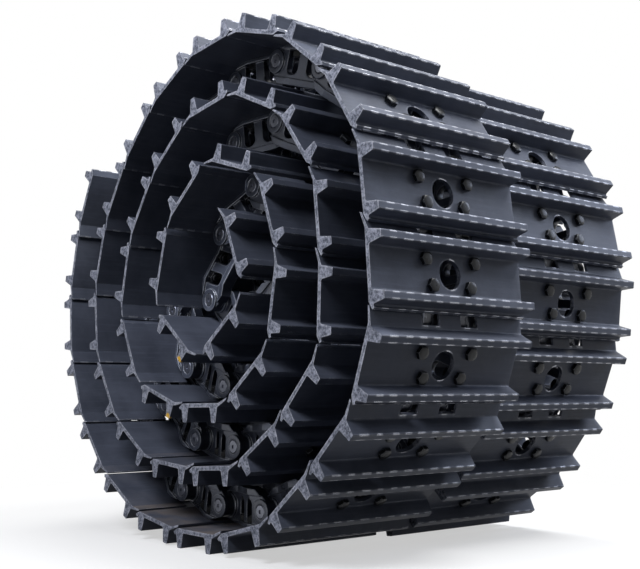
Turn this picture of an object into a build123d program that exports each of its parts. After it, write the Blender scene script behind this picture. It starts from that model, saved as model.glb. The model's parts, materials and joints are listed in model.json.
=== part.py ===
from build123d import *
import os
from math import atan2, cos, degrees, hypot, radians, sin, tan

os.makedirs("parts", exist_ok=True)

# The chain
pitch = 190.0
links_per_chain = 49
loose_links = 5
tightest_bend = 78.0

# Width of the chain, from its middle plane outwards
sprocket_room = 86.0
inboard_thickness = 29.0
side_gap = 1.0
outboard_thickness = 33.0

# Links, measured from the line through the pins
rail_depth = 57.0
shoe_seat = 46.0
rail_band = 18.0
pad_thickness = 10.0
rail_start = 24.0
rail_end = pitch - 24.0
pad_start = 36.0
pad_end = pitch - 40.0
pin_boss_radius = 32.0
bushing_boss_radius = 35.0
web_inset = 7.0
window_width = 36.0
window_floor = 30.0

# Pins, bushings and dust seals
pin_radius = 19.0
pin_chamfer = 2.5
pin_dimple_radius = 5.0
pin_dimple_depth = 3.0
running_clearance = 0.1
bushing_wall = 9.9
seal_width = 7.0
seal_seat_depth = 4.0
seal_clearance = 0.3

# Shoes
shoe_width = 500.0
plate_thickness = 11.0
grouser_height = 50.0
grouser_tip = 18.4
grouser_root = 33.0
grouser_places = (25.5, pitch - 32.0)
root_fillet = 5.0
tip_fillet = 2.5
front_lip_bend = 4.0
front_lip_reach = 32.0
front_lip_angle = 20.0
front_lip_thickness = 6.5
rear_lip_bend = pitch - 22.0
rear_lip_reach = pitch - 4.0
rear_lip_angle = 29.0
rear_lip_thickness = 8.5
notch_room_inside = 8.0
notch_room_outside = 20.0
notch_end = 1.0
mud_hole_radius = 35.0
mud_hole_along = pitch - 97.0

# Shoe bolts, M20
bolt_radius = 10.0
bolt_hole_clearance = 0.4
bolt_head_flats = 30.0
bolt_head_height = 13.0
nut_height = 17.0
bolt_tail = 3.0
wide_bolts_along = 62.0
wide_bolts_across = 81.0
narrow_bolts_along = pitch - 68.2
narrow_bolts_across = 62.2

# The two rolls, side by side
roll_gap = 15.0
turn_spacing = 162.2
widest_flat = 74.0
near_roll = dict(start=45.4, core=203.0, oval=19.7, oval_at=146.0, lobe=13.9, lobe_at=97.1,
                 bends=(77.0, 73.3, 68.4, 36.7),
                 flats=((269.9, 167.9, 162.8), (175.7, 184.0, 158.7), (225.3, 183.4, 157.4)))
far_roll = dict(start=100.1, core=203.5, oval=19.0, oval_at=157.8, lobe=15.9, lobe_at=129.0,
                bends=(66.0, 76.0, 46.0, 42.0),
                flats=((270.0, 149.3, 162.8),))
far_roll_shift = 74.7

# Places that follow from the sizes above
inboard_inner = sprocket_room / 2
inboard_outer = inboard_inner + inboard_thickness
outboard_inner = inboard_outer + side_gap
outboard_outer = outboard_inner + outboard_thickness
swing_room = rail_depth * tan(radians(tightest_bend / 2))
bushing_bore = pin_radius + running_clearance
bushing_radius = bushing_bore + bushing_wall
plate_face = shoe_seat + plate_thickness
tip_line = shoe_seat + grouser_height
nut_seat = shoe_seat - pad_thickness
bolt_hole_radius = bolt_radius + bolt_hole_clearance
bolt_places = [
    (wide_bolts_along, wide_bolts_across),
    (wide_bolts_along, -wide_bolts_across),
    (narrow_bolts_along, narrow_bolts_across),
    (narrow_bolts_along, -narrow_bolts_across),
]


def roll_radius(roll, angle):
    """Distance of the pin line from the middle of a roll.

    It is a spiral, a little oval and three-sided, pressed flat where it lies and leans. Each flat has its
    direction, its distance from the middle and how much farther out it is after each turn.
    """
    growth = turn_spacing * angle / 360
    oval = roll["oval"] * cos(radians(2 * (angle - roll["oval_at"])))
    lobe = roll["lobe"] * cos(radians(3 * (angle - roll["lobe_at"])))
    radius = roll["core"] + growth + oval + lobe
    for direction, distance, spacing in roll["flats"]:
        off_flat = (angle - direction + 180) % 360 - 180
        if abs(off_flat) < widest_flat:
            distance += spacing * (angle - off_flat) / 360
            radius = min(radius, distance / cos(radians(off_flat)))
    return radius


def on_roll(roll, angle):
    """The point (y, z) of the pin line at an angle about the middle of the roll."""
    radius = roll_radius(roll, angle)
    return (radius * cos(radians(angle)), radius * sin(radians(angle)))


def heading(pins, link):
    """Direction of a link, in degrees up from +Y."""
    return degrees(atan2(pins[link + 1][1] - pins[link][1], pins[link + 1][0] - pins[link][0]))


def roll_pins(roll):
    """All pins of a rolled chain, a pitch apart, from the innermost to the outermost."""
    angle = roll["start"]
    pins = [on_roll(roll, angle)]
    while len(pins) < links_per_chain + 1 - len(roll["bends"]):
        low = angle
        high = angle + 120
        for halving in range(50):
            angle = (low + high) / 2
            y, z = on_roll(roll, angle)
            if hypot(y - pins[-1][0], z - pins[-1][1]) < pitch:
                low = angle
            else:
                high = angle
        pins.append(on_roll(roll, angle))
    direction = heading(pins, 0)
    for bend in reversed(roll["bends"]):
        direction -= bend
        y, z = pins[0]
        pins.insert(0, (y - pitch * cos(radians(direction)), z - pitch * sin(radians(direction))))
    return pins


def link_point(pins, link, along, outward):
    """A point (y, z) given along a link and outward from its pin line."""
    turn = radians(heading(pins, link))
    y = pins[link][0] + along * cos(turn) + outward * sin(turn)
    z = pins[link][1] + along * sin(turn) - outward * cos(turn)
    return (y, z)


def tip_points(pins):
    """The corners of all grouser tips, as (y, z)."""
    points = []
    for link in range(links_per_chain):
        for middle in grouser_places:
            for edge in (-grouser_tip / 2 + tip_fillet, grouser_tip / 2 - tip_fillet):
                points.append(link_point(pins, link, middle + edge, tip_line))
    return points


def settle(pins):
    """Roll a coil until grouser tips on both sides of its weight bear on the floor, and set it there."""
    tips = tip_points(pins)
    weight = sum(y for y, z in pins) / len(pins)
    left = [tip for tip in tips if tip[0] > weight and tip[1] < 0]
    right = [tip for tip in tips if tip[0] <= weight and tip[1] < 0]

    def height_below(pair):
        (y1, z1), (y2, z2) = pair
        return z2 + (z1 - z2) * (weight - y2) / (y1 - y2)

    first, second = min(((a, b) for a in left for b in right), key=height_below)
    tilt = -atan2(first[1] - second[1], first[0] - second[0])
    turned = [(y * cos(tilt) - z * sin(tilt), y * sin(tilt) + z * cos(tilt)) for y, z in pins]
    floor = min(z for y, z in tip_points(turned))
    return [(y, z - floor) for y, z in turned]


near_pins = settle(roll_pins(near_roll))
far_pins = [(y + far_roll_shift, z) for y, z in settle(roll_pins(far_roll))]
tips_across = [y for y, z in tip_points(near_pins) + tip_points(far_pins)]
middle_y = (min(tips_across) + max(tips_across)) / 2
near_pins = [(y - middle_y, z) for y, z in near_pins]
far_pins = [(y - middle_y, z) for y, z in far_pins]
roll_x = (shoe_width + roll_gap) / 2


def link_places(pins, x):
    """A plane for each link: along the chain in x, across it in y and outward in z."""
    places = []
    for link in range(links_per_chain):
        turn = radians(heading(pins, link))
        places.append(Plane(
            origin=(x, pins[link][0], pins[link][1]),
            x_dir=(0, cos(turn), sin(turn)),
            z_dir=(0, sin(turn), -cos(turn)),
        ).location)
    return places


# Shoe: rolled double-grouser section, cut to width, notched and pierced
def shoe_section():
    """Outline of the rolled section, along the chain and outward from the shoe's seat."""
    front = radians(front_lip_angle)
    rear = radians(rear_lip_angle)
    front_drop = (front_lip_bend + front_lip_reach) * tan(front)
    rear_rise = (rear_lip_reach - rear_lip_bend) * tan(rear)
    points = [(front_lip_bend, 0), (rear_lip_bend, 0), (rear_lip_reach, rear_rise)]
    points.append((rear_lip_reach - rear_lip_thickness * sin(rear),
                   rear_rise + rear_lip_thickness * cos(rear)))
    for middle in reversed(grouser_places):
        points.append((middle + grouser_root / 2, plate_thickness))
        points.append((middle + grouser_tip / 2, grouser_height))
        points.append((middle - grouser_tip / 2, grouser_height))
        points.append((middle - grouser_root / 2, plate_thickness))
    points.append((front_lip_thickness * sin(front) - front_lip_reach,
                   front_lip_thickness * cos(front) - front_drop))
    points.append((-front_lip_reach, -front_drop))
    return [(along, shoe_seat + outward) for along, outward in points]


with BuildPart() as shoe:
    with BuildSketch(Plane.XZ) as section:
        with BuildLine():
            Polyline(*shoe_section(), close=True)
        make_face()
        tip_corners = section.vertices().filter_by_position(Axis.Y, tip_line - 0.1, tip_line + 0.1)
        fillet(tip_corners, tip_fillet)
        root_corners = section.vertices().filter_by_position(Axis.Y, plate_face - 0.1, plate_face + 0.1)
        fillet(root_corners, root_fillet)
    extrude(amount=shoe_width / 2, both=True)
    notch_width = inboard_thickness + notch_room_inside + notch_room_outside
    notch_across = inboard_inner - notch_room_inside + notch_width / 2
    with BuildSketch(Plane.XY.offset(shoe_seat - pitch / 2)):
        with Locations((-front_lip_reach, notch_across), (-front_lip_reach, -notch_across)):
            Rectangle(2 * (front_lip_reach + notch_end), notch_width)
    extrude(amount=pitch, mode=Mode.SUBTRACT)
    with Locations(Plane.XY.offset(plate_face)):
        with Locations((mud_hole_along, 0)):
            Hole(mud_hole_radius, plate_thickness)
        with Locations(*bolt_places):
            Hole(bolt_hole_radius, plate_thickness)


# Left link: forged, offset from the outboard pin end to the inboard bushing end
def link_plan():
    """The link seen from the shoe side: two straight ends joined by a slanted body."""
    return [
        (-swing_room, outboard_inner),
        (swing_room, outboard_inner),
        (pitch - swing_room - rail_band, inboard_inner),
        (pitch + swing_room, inboard_inner),
        (pitch + swing_room, inboard_outer),
        (pitch - swing_room, inboard_outer),
        (swing_room + pin_boss_radius / 3, outboard_outer),
        (-swing_room, outboard_outer),
    ]


with BuildPart() as left_link:
    for base, height, inset in (
        (-rail_depth, rail_band, 0),
        (rail_band - rail_depth, rail_depth - rail_band + nut_seat, web_inset),
        (nut_seat, pad_thickness, 0),
    ):
        with BuildSketch(Plane.XY.offset(base)):
            with BuildLine():
                Polyline(*link_plan(), close=True)
            make_face()
            if inset:
                offset(amount=-inset, kind=Kind.INTERSECTION, mode=Mode.REPLACE)
        extrude(amount=height)
    with BuildSketch(Plane.XZ.offset(-outboard_inner)):
        Circle(pin_boss_radius)
    extrude(amount=-outboard_thickness)
    with BuildSketch(Plane.XZ.offset(-inboard_inner)):
        with Locations((pitch, 0)):
            Circle(bushing_boss_radius)
    extrude(amount=-inboard_thickness)
    with BuildSketch(Plane.XZ):
        Circle(pin_boss_radius)
        with Locations((pitch, 0)):
            Circle(bushing_boss_radius)
        with BuildLine():
            Polyline((rail_start, -rail_depth), (rail_end, -rail_depth), (pad_end, shoe_seat),
                     (pad_start, shoe_seat), close=True)
        make_face()
        make_hull()
    extrude(amount=-2 * outboard_outer, mode=Mode.INTERSECT)
    with BuildSketch(Plane.XZ):
        for along in (wide_bolts_along, narrow_bolts_along):
            with Locations((along, window_width / 2 - window_floor)):
                Circle(window_width / 2)
                Rectangle(window_width, window_floor + nut_seat - window_width / 2,
                          align=(Align.CENTER, Align.MIN))
    extrude(amount=-2 * outboard_outer, mode=Mode.SUBTRACT)
    with BuildSketch(Plane.XZ):
        Circle(pin_radius)
        with Locations((pitch, 0)):
            Circle(bushing_radius)
    extrude(amount=-2 * outboard_outer, mode=Mode.SUBTRACT)
    with BuildSketch(Plane.XZ.offset(-outboard_inner)):
        Circle(pin_radius + seal_width + seal_clearance)
    extrude(amount=-seal_seat_depth, mode=Mode.SUBTRACT)
    with Locations(Plane.XY.offset(shoe_seat)):
        with Locations(bolt_places[0], bolt_places[2]):
            Hole(bolt_hole_radius, pad_thickness)

with BuildPart() as right_link:
    mirror(left_link.part, about=Plane.XZ)

# Pin, pressed into the outboard ends
with BuildPart() as pin:
    with BuildSketch(Plane.XZ):
        Circle(pin_radius)
    extrude(amount=outboard_outer, both=True)
    chamfer(pin.edges().filter_by(GeomType.CIRCLE), pin_chamfer)
    for end in pin.faces().filter_by(Axis.Y):
        with BuildSketch(end):
            Circle(pin_dimple_radius)
        extrude(amount=-pin_dimple_depth, mode=Mode.SUBTRACT)

# Bushing, pressed into the inboard ends, where the sprocket's teeth bear on it
with BuildPart() as bushing:
    with BuildSketch(Plane.XZ):
        with Locations((pitch, 0)):
            Circle(bushing_radius)
            Circle(bushing_bore, mode=Mode.SUBTRACT)
    extrude(amount=inboard_outer, both=True)

# Dust seals, in the outboard ends against the bushing
with BuildPart() as seal:
    with BuildSketch(Plane.XZ.offset(-inboard_outer - seal_clearance)):
        Circle(pin_radius + seal_width)
        Circle(pin_radius + seal_clearance, mode=Mode.SUBTRACT)
    extrude(amount=seal_clearance - side_gap - seal_seat_depth)

# Shoe bolt, with a flat of its head towards the grouser and the shank down through the link's pad
with BuildPart() as bolt:
    with BuildSketch(Plane.XY):
        Circle(bolt_radius)
    extrude(amount=-(plate_thickness + pad_thickness + nut_height + bolt_tail))
    with BuildSketch(Plane.XY):
        RegularPolygon(bolt_head_flats / 2, 6, major_radius=False, rotation=30)
    extrude(amount=bolt_head_height)

# Nut, in the link's window against the underside of the pad
with BuildPart() as nut:
    with BuildSketch(Plane.XY):
        RegularPolygon(bolt_head_flats / 2, 6, major_radius=False, rotation=30)
        Circle(bolt_radius, mode=Mode.SUBTRACT)
    extrude(amount=-nut_height)

as_made = [Location((0, 0, 0))]
seal_sides = [Location((0, 0, 0)), Location((0, 0, 0), (0, 0, 180))]
bolt_seats = [Location((along, across, plate_face)) for along, across in bolt_places]
nut_seats = [Location((along, across, nut_seat)) for along, across in bolt_places]
kinds = {
    "shoe": (shoe, as_made),
    "left_link": (left_link, as_made),
    "right_link": (right_link, as_made),
    "pin": (pin, as_made),
    "bushing": (bushing, as_made),
    "seal": (seal, seal_sides),
    "bolt": (bolt, bolt_seats),
    "nut": (nut, nut_seats),
}
not_in_first_link = ("pin", "seal")


def save(kind, places, name):
    """Write the pieces of one kind at some links as one named group of separate solids."""
    piece, seats = kinds[kind]
    solid = piece.part.solid()
    group = Compound([solid.moved(place * seat) for place in places for seat in seats])
    group.label = name
    export_step(group, f"parts/{name}.step", write_pcurves=False)


near_places = link_places(near_pins, -roll_x)
far_places = link_places(far_pins, roll_x)
for kind in kinds:
    first = 1 if kind in not_in_first_link else 0
    save(kind, near_places[first:-loose_links], f"near_roll_{kind}s")
    save(kind, far_places[first:], f"far_roll_{kind}s")
    for number, place in enumerate(near_places[-loose_links:], start=1):
        save(kind, [place], f"tail_{kind}_{number}")

for number in range(loose_links):
    link = links_per_chain - loose_links + number
    bend = (heading(near_pins, link) - heading(near_pins, link - 1)) % 360
    print("tail hinge", number + 1, [round(value, 4) for value in near_pins[link]], "bend", round(bend, 3))
print("free end", [round(value, 4) for value in near_pins[-1]], "middle", round(middle_y, 3))
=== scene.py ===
import json
from math import cos, pi, radians, sin

import bmesh
import bpy
import numpy as np
from mathutils import Matrix, Vector


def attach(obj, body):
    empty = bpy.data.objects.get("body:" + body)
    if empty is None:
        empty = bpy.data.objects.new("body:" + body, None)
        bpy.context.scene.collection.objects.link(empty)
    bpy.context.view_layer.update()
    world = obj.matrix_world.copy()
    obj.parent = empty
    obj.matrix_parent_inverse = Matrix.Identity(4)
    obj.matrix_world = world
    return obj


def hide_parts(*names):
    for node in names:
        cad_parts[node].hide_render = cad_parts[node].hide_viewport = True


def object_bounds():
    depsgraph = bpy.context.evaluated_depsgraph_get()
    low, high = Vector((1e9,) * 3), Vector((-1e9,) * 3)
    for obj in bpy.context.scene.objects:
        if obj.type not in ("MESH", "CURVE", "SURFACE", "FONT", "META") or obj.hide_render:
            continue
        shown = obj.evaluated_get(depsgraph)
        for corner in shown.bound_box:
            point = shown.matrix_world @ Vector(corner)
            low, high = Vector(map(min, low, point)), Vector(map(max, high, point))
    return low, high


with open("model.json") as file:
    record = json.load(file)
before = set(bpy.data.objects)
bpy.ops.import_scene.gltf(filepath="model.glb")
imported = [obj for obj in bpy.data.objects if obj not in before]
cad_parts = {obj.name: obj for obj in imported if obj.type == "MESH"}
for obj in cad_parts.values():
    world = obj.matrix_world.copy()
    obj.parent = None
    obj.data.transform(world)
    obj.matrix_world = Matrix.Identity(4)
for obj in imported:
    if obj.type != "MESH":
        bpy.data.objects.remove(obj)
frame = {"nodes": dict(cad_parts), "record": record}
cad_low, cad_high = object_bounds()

scene = bpy.context.scene
bodies = frame["record"]["behaviour"]["bodies"]
mm = 0.001

# Camera: low beside the near roll's end, looking a little up along its shoes
camera_place = Vector((-2.001, -2.3429, 0.4122))
camera_turn = radians(40.167)
camera_rise = radians(5.838)
forward = Vector((sin(camera_turn) * cos(camera_rise), cos(camera_turn) * cos(camera_rise), sin(camera_rise)))
right = Vector((cos(camera_turn), -sin(camera_turn), 0))
up = right.cross(forward)
camera = bpy.data.objects.new("camera", bpy.data.cameras.new("camera"))
camera.matrix_world = Matrix.Translation(camera_place) @ Matrix((right, up, -forward)).transposed().to_4x4()
camera.data.sensor_width = 36
camera.data.lens = 57.92
camera.data.clip_start = 0.05
camera.data.clip_end = 100
scene.collection.objects.link(camera)
scene.camera = camera
scene.view_settings.view_transform = "Standard"


def linear(hex_colour):
    """An sRGB hex colour as linear red, green, blue and alpha."""
    values = [int(hex_colour[place:place + 2], 16) / 255 for place in (1, 3, 5)]
    return [v / 12.92 if v <= 0.04045 else ((v + 0.055) / 1.055) ** 2.4 for v in values] + [1]


def add(tree, kind, links=None, **settings):
    """Add a node with its settings, its socket values and its links."""
    node = tree.nodes.new(kind)
    for name, value in settings.items():
        setattr(node, name, value)
    for socket, value in (links or {}).items():
        if isinstance(value, bpy.types.NodeSocket):
            tree.links.new(value, node.inputs[socket])
        else:
            node.inputs[socket].default_value = value
    return node


def new_material(name):
    """An empty node material and its node tree."""
    material = bpy.data.materials.new(name)
    material.use_nodes = True
    material.node_tree.nodes.clear()
    return material, material.node_tree


def rounded_edge_highlight(tree, radius, samples, flat, pale_at, most=1):
    """The normal of a surface whose edges are rounded by a radius, and the share of a pale edge colour on
    them that paints a highlight there.

    The share grows from 0 where the cosine between that normal and the face's own is flat, to most
    where it reaches pale_at.
    """
    rounded = add(tree, "ShaderNodeBevel", {"Radius": radius}, samples=samples).outputs[0]
    own = add(tree, "ShaderNodeNewGeometry").outputs["Normal"]
    cosine = add(tree, "ShaderNodeVectorMath", {0: rounded, 1: own}, operation="DOT_PRODUCT")
    share = add(tree, "ShaderNodeMapRange",
                {"Value": cosine.outputs["Value"], "From Min": flat, "From Max": pale_at, "To Max": most})
    return rounded, share.outputs[0]


def sees_white(tree):
    """1 for the rays that show the white background: camera, glossy and transmission. 0 for the rest."""
    path = add(tree, "ShaderNodeLightPath")
    seen = add(tree, "ShaderNodeMath", {0: path.outputs["Is Camera Ray"], 1: path.outputs["Is Glossy Ray"]},
               operation="MAXIMUM")
    seen = add(tree, "ShaderNodeMath", {0: seen.outputs[0], 1: path.outputs["Is Transmission Ray"]},
               operation="MAXIMUM")
    return seen.outputs[0]


# A Mix node's sockets share their names, so they are called by their places
value_a, value_b, colour_a, colour_b = 2, 3, 6, 7

# Semi-gloss black enamel, sprayed over hot-rolled bar: a blue-black skin with a soft sheen, cloudy
# where it dried uneven and lined along the rolling. On the outside of the rolls, the grouser edges are
# pale in dashes, partly rubbed to bare grey by handling and partly a painted edge highlight. The sheared
# ends are a pale, pitted grey. Brown dust has settled on what lies flat near the floor, and two grouser
# tips have a dab of yellow paint.
shoe_enamel, tree = new_material("shoe_enamel")
place = add(tree, "ShaderNodeTexCoord").outputs["Object"]
normal = add(tree, "ShaderNodeSeparateXYZ", {0: add(tree, "ShaderNodeTexCoord").outputs["Normal"]})

# Skin: paint clouds of 120 mm, and lines drawn out along the shoe. Real rolling lines and pits are
# under 2 mm wide. They are drawn 8 and 9 mm wide, because finer ones wouldn't show.
clouds = add(tree, "ShaderNodeTexNoise",
             {"Vector": place, "Scale": 1 / (120 * mm), "Detail": 5, "Roughness": 0.6})
drawn_out = add(tree, "ShaderNodeMapping", {"Vector": place, "Scale": (0.06, 1, 1)})
lines = add(tree, "ShaderNodeTexNoise",
            {"Vector": drawn_out.outputs[0], "Scale": 1 / (8 * mm), "Detail": 4, "Roughness": 0.6})
pits = add(tree, "ShaderNodeTexNoise",
           {"Vector": place, "Scale": 1 / (9 * mm), "Detail": 6, "Roughness": 0.8})
skin = add(tree, "ShaderNodeMix",
           {"Factor": clouds.outputs[0], colour_a: linear("#31353e"), colour_b: linear("#686d7b")},
           data_type="RGBA")
line_share = add(tree, "ShaderNodeMapRange",
                 {"Value": lines.outputs[0], "From Min": 0.5, "From Max": 0.75, "To Max": 0.2})
lined = add(tree, "ShaderNodeMix",
            {"Factor": line_share.outputs[0], colour_a: skin.outputs[2], colour_b: linear("#727889")},
            data_type="RGBA")

# Sheared ends: the faces that look along the shoe's width
pitted = add(tree, "ShaderNodeMapRange", {"Value": pits.outputs[0], "From Min": 0.42, "From Max": 0.6})
end_skin = add(tree, "ShaderNodeMix",
               {"Factor": pitted.outputs[0], colour_a: linear("#5a5e69"), colour_b: linear("#b4b7c4")},
               data_type="RGBA")
sideways = add(tree, "ShaderNodeMath", {0: normal.outputs["X"]}, operation="ABSOLUTE")
end_share = add(tree, "ShaderNodeMapRange",
                {"Value": sideways.outputs[0], "From Min": 0.85, "From Max": 0.95})
plain = add(tree, "ShaderNodeMix",
            {"Factor": end_share.outputs[0], colour_a: lined.outputs[2], colour_b: end_skin.outputs[2]},
            data_type="RGBA")

# Dust: in patches on faces that look up, none at 350 mm above the floor and most at 100 mm and below
height = add(tree, "ShaderNodeSeparateXYZ", {0: place})
near_floor = add(tree, "ShaderNodeMapRange",
                 {"Value": height.outputs["Z"], "From Min": 350 * mm, "From Max": 100 * mm, "To Max": 0.45})
lies_flat = add(tree, "ShaderNodeMapRange",
                {"Value": normal.outputs["Z"], "From Min": 0.85, "From Max": 0.98})
settled = add(tree, "ShaderNodeMath", {0: near_floor.outputs[0], 1: lies_flat.outputs[0]},
              operation="MULTIPLY")
patches = add(tree, "ShaderNodeMapRange", {"Value": clouds.outputs[0], "From Min": 0.42, "From Max": 0.62})
patchy = add(tree, "ShaderNodeMath", {0: settled.outputs[0], 1: patches.outputs[0]}, operation="MULTIPLY")
dusty = add(tree, "ShaderNodeMix",
            {"Factor": patchy.outputs[0], colour_a: plain.outputs[2], colour_b: linear("#867766")},
            data_type="RGBA")

# Dabs of yellow paint about 20 mm across, with an outline that the pits make ragged
marked = dusty.outputs[2]
painted_tips = (-0.5075, 0.0129, 0.4915), (-0.5075, 0.0651, 0.3391)
for tip in painted_tips:
    away = add(tree, "ShaderNodeVectorMath", {0: place, 1: tip}, operation="DISTANCE")
    ragged = add(tree, "ShaderNodeMath", {0: pits.outputs[0], 1: 10 * mm, 2: away.outputs["Value"]},
                 operation="MULTIPLY_ADD")
    dab = add(tree, "ShaderNodeMapRange",
              {"Value": ragged.outputs[0], "From Min": 17 * mm, "From Max": 14 * mm})
    marked = add(tree, "ShaderNodeMix",
                 {"Factor": dab.outputs[0], colour_a: marked, colour_b: linear("#efba44")},
                 data_type="RGBA").outputs[2]

# Pale edges, partly rubbed bare and partly a painted highlight: those that stand proud, run along the
# shoe and lie on the outside of the rolls, in dashes 45 mm apart. The sheared ends have a little of it
# too. A Wave node's bands are 314 mm apart at scale 1.
rounded_edge_normal, edge_highlight = rounded_edge_highlight(tree, 9 * mm, samples=8, flat=0.99, pale_at=0.9)
open_air = add(tree, "ShaderNodeAmbientOcclusion", {"Distance": 25 * mm}, samples=4)
proud = add(tree, "ShaderNodeMapRange", {"Value": open_air.outputs["AO"], "From Min": 0.72, "From Max": 0.92})
proud_edge = add(tree, "ShaderNodeMath", {0: edge_highlight, 1: proud.outputs[0]}, operation="MULTIPLY")
room_about = add(tree, "ShaderNodeAmbientOcclusion", {"Distance": 400 * mm}, samples=4)
outside = add(tree, "ShaderNodeMapRange",
              {"Value": room_about.outputs["AO"], "From Min": 0.3, "From Max": 0.6, "To Min": 0.04})
rounded_edge_side = add(tree, "ShaderNodeSeparateXYZ", {0: rounded_edge_normal})
leaning = add(tree, "ShaderNodeMath", {0: rounded_edge_side.outputs["X"]}, operation="ABSOLUTE")
lengthwise = add(tree, "ShaderNodeMapRange", {"Value": leaning.outputs[0], "From Min": 0.3, "From Max": 0.15})
handled_and_lit = add(tree, "ShaderNodeMath", {0: lengthwise.outputs[0], 1: outside.outputs[0]}, operation="MULTIPLY")
kept = add(tree, "ShaderNodeMix", {"Factor": end_share.outputs[0], value_a: handled_and_lit.outputs[0], value_b: 0.3})
kept_edge = add(tree, "ShaderNodeMath", {0: proud_edge.outputs[0], 1: kept.outputs[0]}, operation="MULTIPLY")
dashes = add(tree, "ShaderNodeTexWave",
             {"Vector": place, "Scale": 314 / 45, "Distortion": 2.5, "Detail": 2, "Detail Scale": 3},
             wave_type="BANDS", bands_direction="X")
rub_and_highlight_dashes = add(tree, "ShaderNodeMapRange",
             {"Value": dashes.outputs["Fac"], "From Min": 0.4, "From Max": 0.6, "To Min": 0.2})
bare_and_highlight_share = add(tree, "ShaderNodeMath", {0: kept_edge.outputs[0], 1: rub_and_highlight_dashes.outputs[0]},
                 operation="MULTIPLY")
# Edge colour: pale grey for bare metal and for the painted highlight
colour = add(tree, "ShaderNodeMix",
             {"Factor": bare_and_highlight_share.outputs[0], colour_a: marked, colour_b: linear("#dfe1e8")},
             data_type="RGBA")

gloss = add(tree, "ShaderNodeMapRange", {"Value": clouds.outputs[0], "From Min": 0.3, "From Max": 0.7,
                                         "To Min": 0.34, "To Max": 0.52})
rough = add(tree, "ShaderNodeMix", {"Factor": end_share.outputs[0], value_a: gloss.outputs[0], value_b: 0.8})
relief = add(tree, "ShaderNodeMath", {0: lines.outputs[0], 1: pits.outputs[0]}, operation="ADD")
round_normal = add(tree, "ShaderNodeBevel", {"Radius": 2.5 * mm}, samples=6)
bump = add(tree, "ShaderNodeBump", {"Height": relief.outputs[0], "Strength": 0.3, "Distance": 0.6 * mm,
                                    "Normal": round_normal.outputs[0]})
shader = add(tree, "ShaderNodeBsdfPrincipled",
             {"Base Color": colour.outputs[2], "Roughness": rough.outputs[0], "Specular IOR Level": 0.12,
              "Metallic": bare_and_highlight_share.outputs[0], "Normal": bump.outputs[0]})
add(tree, "ShaderNodeOutputMaterial", {"Surface": shader.outputs[0]})

# Drop-forged boron steel, shot-blasted and dipped in thin black paint: near black and lightly pebbled
# by the blasting. The side faces, which look along the pins, are a lighter, clouded blue grey, and the
# rims carry a painted highlight of pale metal. The pebbles are under 1 mm and are drawn 3 mm wide, to show.
forged_steel, tree = new_material("forged_steel")
place = add(tree, "ShaderNodeTexCoord").outputs["Object"]
clouds = add(tree, "ShaderNodeTexNoise",
             {"Vector": place, "Scale": 1 / (70 * mm), "Detail": 4, "Roughness": 0.6})
pebbles = add(tree, "ShaderNodeTexNoise",
              {"Vector": place, "Scale": 1 / (3 * mm), "Detail": 3, "Roughness": 0.6})
painted = add(tree, "ShaderNodeMix",
              {"Factor": clouds.outputs[0], colour_a: linear("#21242b"), colour_b: linear("#434856")},
              data_type="RGBA")
side_tone = add(tree, "ShaderNodeMix",
               {"Factor": clouds.outputs[0], colour_a: linear("#2e323c"), colour_b: linear("#7c8395")},
               data_type="RGBA")
normal = add(tree, "ShaderNodeSeparateXYZ", {0: add(tree, "ShaderNodeTexCoord").outputs["Normal"]})
sideways = add(tree, "ShaderNodeMath", {0: normal.outputs["X"]}, operation="ABSOLUTE")
side_share = add(tree, "ShaderNodeMapRange",
                 {"Value": sideways.outputs[0], "From Min": 0.7, "From Max": 0.95})
skin = add(tree, "ShaderNodeMix",
           {"Factor": side_share.outputs[0], colour_a: painted.outputs[2], colour_b: side_tone.outputs[2]},
           data_type="RGBA")
# Rims: pale metal, a painted highlight
round_normal, edge_highlight = rounded_edge_highlight(tree, 5 * mm, samples=6, flat=0.98, pale_at=0.88, most=0.8)
colour = add(tree, "ShaderNodeMix", {"Factor": edge_highlight, colour_a: skin.outputs[2], colour_b: linear("#c8cdd8")},
             data_type="RGBA")
gloss = add(tree, "ShaderNodeMapRange", {"Value": clouds.outputs[0], "From Min": 0.3, "From Max": 0.7,
                                         "To Min": 0.26, "To Max": 0.42})
bump = add(tree, "ShaderNodeBump", {"Height": pebbles.outputs[0], "Strength": 0.3, "Distance": 0.6 * mm,
                                    "Normal": round_normal})
shader = add(tree, "ShaderNodeBsdfPrincipled",
             {"Base Color": colour.outputs[2], "Roughness": gloss.outputs[0], "Metallic": 0.2,
              "Normal": bump.outputs[0]})
add(tree, "ShaderNodeOutputMaterial", {"Surface": shader.outputs[0]})

# Induction-hardened pins and bushings, ground round: paler than the links and without their pebbles,
# with grey tempering clouds and a real metal highlight. Grinding marks are far finer than the 2 mm
# drawn here, which is the finest that shows.
ground_steel, tree = new_material("ground_steel")
place = add(tree, "ShaderNodeTexCoord").outputs["Object"]
clouds = add(tree, "ShaderNodeTexNoise",
             {"Vector": place, "Scale": 1 / (30 * mm), "Detail": 4, "Roughness": 0.6})
scratches = add(tree, "ShaderNodeTexNoise", {"Vector": place, "Scale": 1 / (2 * mm), "Detail": 2})
colour = add(tree, "ShaderNodeMix",
             {"Factor": clouds.outputs[0], colour_a: linear("#545761"), colour_b: linear("#a0a4b1")},
             data_type="RGBA")
gloss = add(tree, "ShaderNodeMapRange", {"Value": clouds.outputs[0], "From Min": 0.3, "From Max": 0.7,
                                         "To Min": 0.3, "To Max": 0.45})
bump = add(tree, "ShaderNodeBump", {"Height": scratches.outputs[0], "Strength": 0.15, "Distance": 0.3 * mm})
shader = add(tree, "ShaderNodeBsdfPrincipled",
             {"Base Color": colour.outputs[2], "Roughness": gloss.outputs[0], "Metallic": 0.8,
              "Normal": bump.outputs[0]})
add(tree, "ShaderNodeOutputMaterial", {"Surface": shader.outputs[0]})
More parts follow.
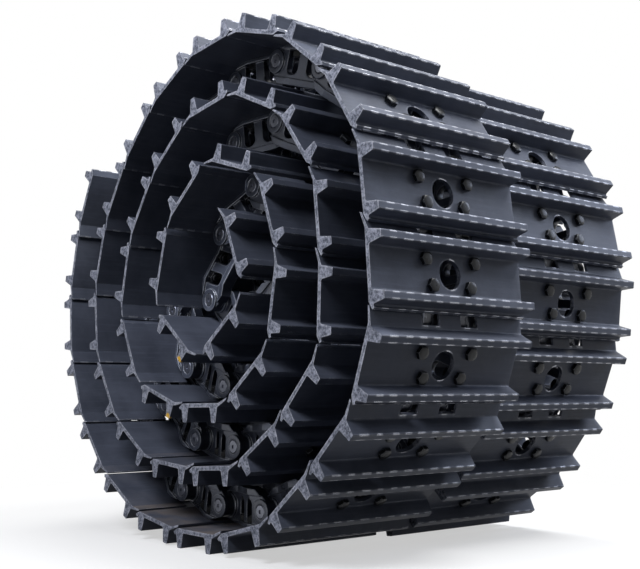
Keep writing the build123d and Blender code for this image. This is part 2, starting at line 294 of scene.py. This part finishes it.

# Quenched and oil-blackened bolts and nuts: black oxide with a slight sheen, and a painted highlight of
# pale metal on the corners
blackened_steel, tree = new_material("blackened_steel")
place = add(tree, "ShaderNodeTexCoord").outputs["Object"]
clouds = add(tree, "ShaderNodeTexNoise",
             {"Vector": place, "Scale": 1 / (12 * mm), "Detail": 4, "Roughness": 0.6})
# Corners: pale metal, a painted highlight
round_normal, edge_highlight = rounded_edge_highlight(tree, 1.6 * mm, samples=6, flat=0.97, pale_at=0.9, most=0.7)
skin = add(tree, "ShaderNodeMix",
           {"Factor": clouds.outputs[0], colour_a: linear("#0f1112"), colour_b: linear("#212327")},
           data_type="RGBA")
colour = add(tree, "ShaderNodeMix", {"Factor": edge_highlight, colour_a: skin.outputs[2], colour_b: linear("#b4b8c0")},
             data_type="RGBA")
gloss = add(tree, "ShaderNodeMapRange", {"Value": clouds.outputs[0], "From Min": 0.3, "From Max": 0.7,
                                         "To Min": 0.24, "To Max": 0.38})
shader = add(tree, "ShaderNodeBsdfPrincipled",
             {"Base Color": colour.outputs[2], "Roughness": gloss.outputs[0], "Specular IOR Level": 0.2,
              "Normal": round_normal})
add(tree, "ShaderNodeOutputMaterial", {"Surface": shader.outputs[0]})

# Moulded polyurethane lip of the dust seals: dull, slightly brown black
seal_rubber, tree = new_material("seal_rubber")
place = add(tree, "ShaderNodeTexCoord").outputs["Object"]
clouds = add(tree, "ShaderNodeTexNoise", {"Vector": place, "Scale": 1 / (6 * mm), "Detail": 3})
colour = add(tree, "ShaderNodeMix",
             {"Factor": clouds.outputs[0], colour_a: linear("#211e1d"), colour_b: linear("#3d3936")},
             data_type="RGBA")
shader = add(tree, "ShaderNodeBsdfPrincipled", {"Base Color": colour.outputs[2], "Roughness": 0.7})
add(tree, "ShaderNodeOutputMaterial", {"Surface": shader.outputs[0]})

finishes = {
    "shoe_paint": shoe_enamel,
    "forged_link": forged_steel,
    "hardened_pin": ground_steel,
    "seal_steel": seal_rubber,
    "black_bolt": blackened_steel,
}

# Carried-over parts: one finish each, and on the links the small radius that forging leaves
merge_distance = 0.01 * mm
forging_radius = 1.5 * mm
sharp_angle = radians(35)
slot_of = {part["node"]: part["material_slot"] for part in frame["record"]["subparts"]}
for name, node in frame["nodes"].items():
    node.data.materials.clear()
    node.data.materials.append(finishes[slot_of[name]])
    if slot_of[name] == "forged_link":
        weld = node.modifiers.new("weld", "WELD")
        weld.merge_threshold = merge_distance
        rounding = node.modifiers.new("rounding", "BEVEL")
        rounding.width = forging_radius
        rounding.segments = 2
        rounding.limit_method = "ANGLE"
        rounding.angle_limit = sharp_angle
        rounding.harden_normals = True

# Bolts with a washer face, a hexagon and a crowned head, and nuts with a turned chamfer at both ends, as
# cold-headed fasteners have. A ring is its height above the bolt's seat and its radius, in millimetres.
# Where the radius reaches past the hexagon, the hexagon's flats cut it.
bolt_head_height = 13 * mm
across_flats = 30 * mm
points_round = 24
shank_end = [(-41, 8.2), (-39.6, 10)]
under_head = [(0, 10), (0, 14.2), (0.8, 14.2)]
head_side = [(0.8, 17.4), (9.6, 17.4)]
crown = [(10.3, 16.4), (11, 15.2), (11.7, 13.6), (12.3, 11.4), (12.8, 8.2), (13, 4)]
bolt_rings = shank_end + under_head + head_side + crown
outer_chamfer = [(-38, 10), (-38, 13.4), (-37.4, 14.5), (-36.6, 16), (-35.8, 17.4)]
inner_chamfer = [(-23.2, 17.4), (-22.4, 16), (-21.6, 14.6), (-21, 14.4), (-21, 10)]
nut_rings = outer_chamfer + inner_chamfer


def solids_of(node_name):
    """The corner points of each separate solid in a CAD node, in the same order each time."""
    mesh = bmesh.new()
    mesh.from_mesh(frame["nodes"][node_name].data)
    bmesh.ops.remove_doubles(mesh, verts=mesh.verts, dist=merge_distance)
    found = set()
    solids = []
    for start in mesh.verts:
        if start not in found:
            found.add(start)
            reached = [start]
            for vert in reached:
                for line in vert.link_edges:
                    other = line.other_vert(vert)
                    if other not in found:
                        found.add(other)
                        reached.append(other)
            solids.append([vert.co.copy() for vert in reached])
    mesh.free()
    return solids


def seat_and_axis(points):
    """Where a bolt sits: the middle of its seat, and its axis towards the head.

    The axis is the longest spread of the bolt's points. Only the head's corners stand further from it
    than 0.85 of the largest distance, since the shank is thinner.
    """
    places = np.array(points)
    middle = places.mean(0)
    axis = np.linalg.svd(places - middle)[2][0]
    along = (places - middle) @ axis
    beside = np.linalg.norm(places - middle - np.outer(along, axis), axis=1)
    corners = beside > 0.85 * beside.max()
    if along[corners].mean() < along.mean():
        axis, along = -axis, -along
    seat = places[corners].mean(0) + axis * (along.max() - bolt_head_height - along[corners].mean())
    return Vector(seat), Vector(axis)


def hexagon_reach(angle):
    """Distance from the middle of the hexagon to its side, a corner lying at angle 0."""
    turn = (angle + pi / 6) % (pi / 3) - pi / 6
    return across_flats / 2 / cos(pi / 6 - abs(turn))


def turned_piece(name, places, rings):
    """One mesh of equal fasteners, each a stack of rings on its axis, one hexagon corner along the roll."""
    corner = Vector((1, 0, 0))
    points = []
    faces = []
    for seat, axis in places:
        third = axis.cross(corner)
        first = len(points)
        for height, radius in rings:
            for side in range(points_round):
                angle = 2 * pi * side / points_round
                reach = min(radius * mm, hexagon_reach(angle))
                outward = (corner * cos(angle) + third * sin(angle)) * reach
                points.append(seat + axis * (height * mm) + outward)
        for ring in range(len(rings) - 1):
            for side in range(points_round):
                near_side = first + ring * points_round + side
                far_side = first + ring * points_round + (side + 1) % points_round
                faces.append((near_side, far_side, far_side + points_round, near_side + points_round))
        faces.append(tuple(reversed(range(first, first + points_round))))
        faces.append(tuple(range(first + (len(rings) - 1) * points_round, first + len(rings) * points_round)))
    mesh = bpy.data.meshes.new(name)
    mesh.from_pydata([tuple(point) for point in points], [], faces)
    mesh.update()
    piece = bpy.data.objects.new(name, mesh)
    scene.collection.objects.link(piece)
    return piece


for body, nodes in bodies.items():
    for bolt_name in nodes:
        if "_bolt" in bolt_name:
            places = [seat_and_axis(points) for points in solids_of(bolt_name)]
            for replaced, rings in ((bolt_name, bolt_rings), (bolt_name.replace("bolt", "nut"), nut_rings)):
                piece = turned_piece(replaced + "_forged", places, rings)
                piece.data.materials.append(blackened_steel)
                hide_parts(replaced)
                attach(piece, body)

# World: white to the eye, and a dim blue-grey room to the light
scene.world = bpy.data.worlds.new("studio")
scene.world.use_nodes = True
tree = scene.world.node_tree
tree.nodes.clear()
room = add(tree, "ShaderNodeBackground", {"Color": linear("#c4cbd9"), "Strength": 0.11})
white = add(tree, "ShaderNodeBackground", {"Color": (1, 1, 1, 1), "Strength": 1})
mixed = add(tree, "ShaderNodeMixShader", {0: sees_white(tree), 1: room.outputs[0], 2: white.outputs[0]})
add(tree, "ShaderNodeOutputWorld", {"Surface": mixed.outputs[0]})


def softbox(name, place, aim, size, power, colour="#ffffff"):
    """A square area lamp at a place, turned towards a point."""
    lamp = bpy.data.objects.new(name, bpy.data.lights.new(name, "AREA"))
    lamp.data.size = size
    lamp.data.energy = power
    lamp.data.color = linear(colour)[:3]
    lamp.location = place
    lamp.rotation_euler = (Vector(aim) - Vector(place)).to_track_quat("-Z", "Y").to_euler()
    scene.collection.objects.link(lamp)


roll_middle = (0, 0, 0.7)
left_end = (-0.3, 0.0, 1.0)
softbox("key", place=(1.2, -2.3, 5.0), aim=roll_middle, size=2.2, power=280)
softbox("far_side", place=(4.5, -2.4, 3.1), aim=roll_middle, size=2.0, power=110, colour="#c8d4ee")
softbox("side", place=(-3.0, -0.8, 3.6), aim=left_end, size=1.5, power=140, colour="#eef1fa")
softbox("top", place=(0.3, 0.6, 5.2), aim=roll_middle, size=2.4, power=160)

# Floor: matt white, turning to plain glowing white away from the rolls, and keeping their soft shadow.
# It is grey for the light that it throws back at them.
floor_reach = 30
floor_gap = 0.5 * mm
floor_mesh = bpy.data.meshes.new("floor")
floor_corners = [(-floor_reach, -floor_reach, 0), (floor_reach, -floor_reach, 0),
                 (floor_reach, floor_reach, 0), (-floor_reach, floor_reach, 0)]
floor_mesh.from_pydata(floor_corners, [], [(0, 1, 2, 3)])
floor = bpy.data.objects.new("floor", floor_mesh)
floor.location.z = cad_low.z - floor_gap
scene.collection.objects.link(floor)
studio_floor, tree = new_material("studio_floor")
seen = sees_white(tree)
place = add(tree, "ShaderNodeTexCoord").outputs["Object"]
away = add(tree, "ShaderNodeVectorMath", {0: place}, operation="LENGTH")
fade = add(tree, "ShaderNodeMapRange", {"Value": away.outputs["Value"], "From Min": 0.7, "From Max": 1.9})
white_share = add(tree, "ShaderNodeMapRange", {"Value": fade.outputs[0], "To Min": 0.55})
shown_white = add(tree, "ShaderNodeMath", {0: seen, 1: white_share.outputs[0]}, operation="MULTIPLY")
matt = add(tree, "ShaderNodeBsdfDiffuse", {"Color": linear("#f0f0f0")})
dull = add(tree, "ShaderNodeBsdfDiffuse", {"Color": linear("#505050")})
glow = add(tree, "ShaderNodeEmission", {"Color": (1, 1, 1, 1), "Strength": 1})
coat = add(tree, "ShaderNodeMixShader", {0: seen, 1: dull.outputs[0], 2: matt.outputs[0]})
mixed = add(tree, "ShaderNodeMixShader", {0: shown_white.outputs[0], 1: coat.outputs[0], 2: glow.outputs[0]})
add(tree, "ShaderNodeOutputMaterial", {"Surface": mixed.outputs[0]})
floor_mesh.materials.append(studio_floor)
